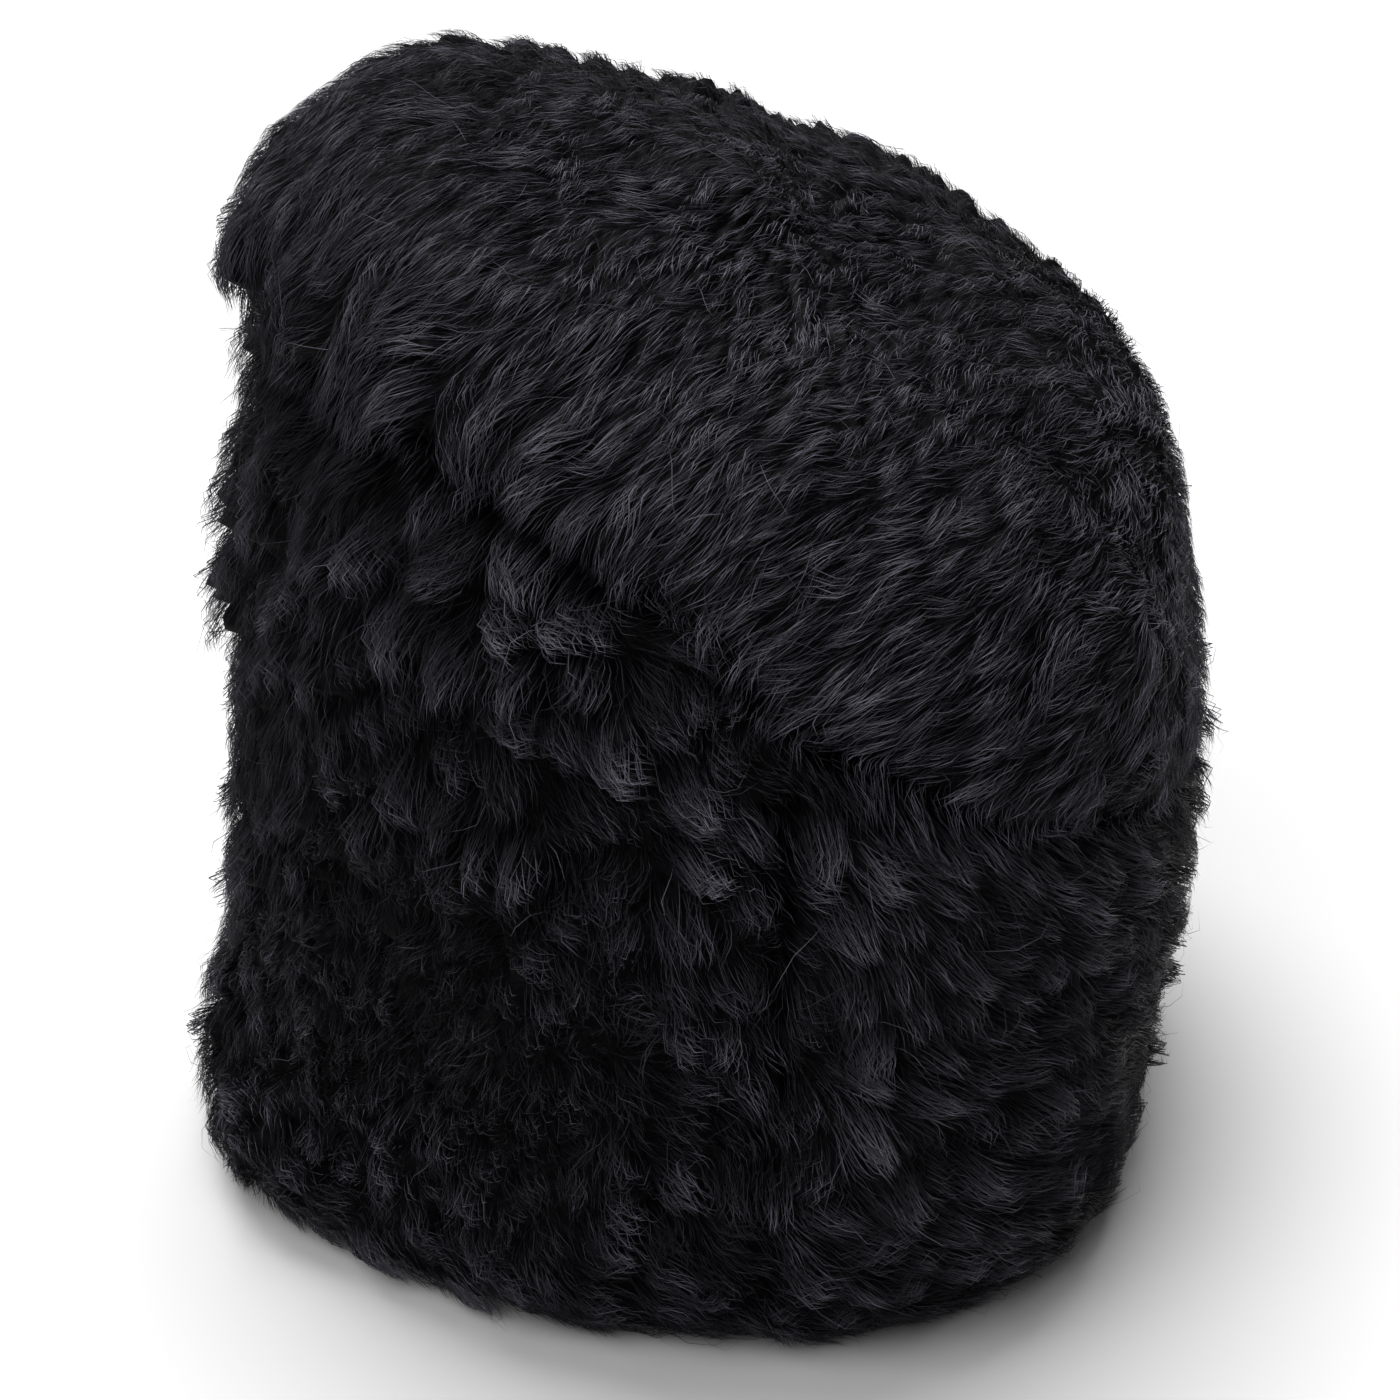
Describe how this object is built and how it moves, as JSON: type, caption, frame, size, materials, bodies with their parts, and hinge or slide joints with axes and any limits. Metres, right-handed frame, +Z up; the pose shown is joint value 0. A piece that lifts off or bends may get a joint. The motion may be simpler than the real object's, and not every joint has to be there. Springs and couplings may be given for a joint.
{
  "type": "sheepskin hat",
  "caption": "Tall soft hat of black sheepskin with deep wool outside: an upright band with a back seam under a slumped crown panel, open below for the head.",
  "frame": {"origin": "on the floor under the middle of the hat's outline, as it stands on its rim", "axes": "+Z up through the crown, +Y towards the front of the hat, -Y towards the band's upright seam at the back, +X towards the side that the crown slumps to"},
  "size_m": [0.235, 0.2658, 0.2514],
  "materials": {
    "wool": "deep combed wool pile, black with a faint violet sheen",
    "hide": "dark suede"
  },
  "bodies": {
    "root": {"band_wool": "wool", "band_hide": "hide", "crown_wool": "wool", "crown_hide": "hide"}
  },
  "joints": []
}
